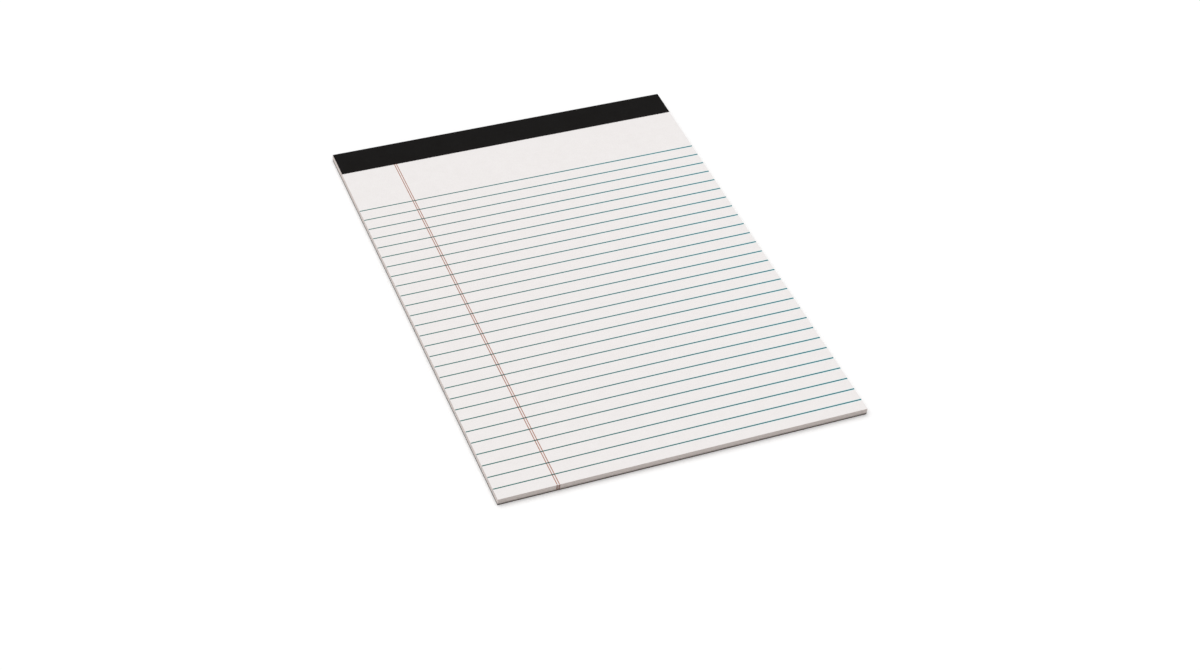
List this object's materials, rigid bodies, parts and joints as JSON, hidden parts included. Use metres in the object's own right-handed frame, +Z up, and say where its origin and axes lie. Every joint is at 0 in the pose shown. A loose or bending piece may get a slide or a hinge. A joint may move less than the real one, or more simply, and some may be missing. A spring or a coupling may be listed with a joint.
{
  "type": "legal pad",
  "caption": "Letter-size ruled writing pad with a double margin rule, stapled to a chipboard back and bound along the top edge by a folded black tape.",
  "frame": {"origin": "middle of the pad's outline, on the surface that it lies on", "axes": "+X across the page to the right, +Y towards the bound edge, +Z up out of the page"},
  "size_m": [0.216, 0.2996, 0.0046],
  "materials": {
    "paper": "matte",
    "chipboard": "matte",
    "tape": "satin",
    "wire": "satin",
    "blue_ink": "matte",
    "red_ink": "matte"
  },
  "bodies": {
    "root": {"sheet_block": "paper", "backing_board": "chipboard", "binding_tape": "tape", "staples": "wire", "ruled_lines": "blue_ink", "margin_lines": "red_ink"}
  },
  "joints": []
}
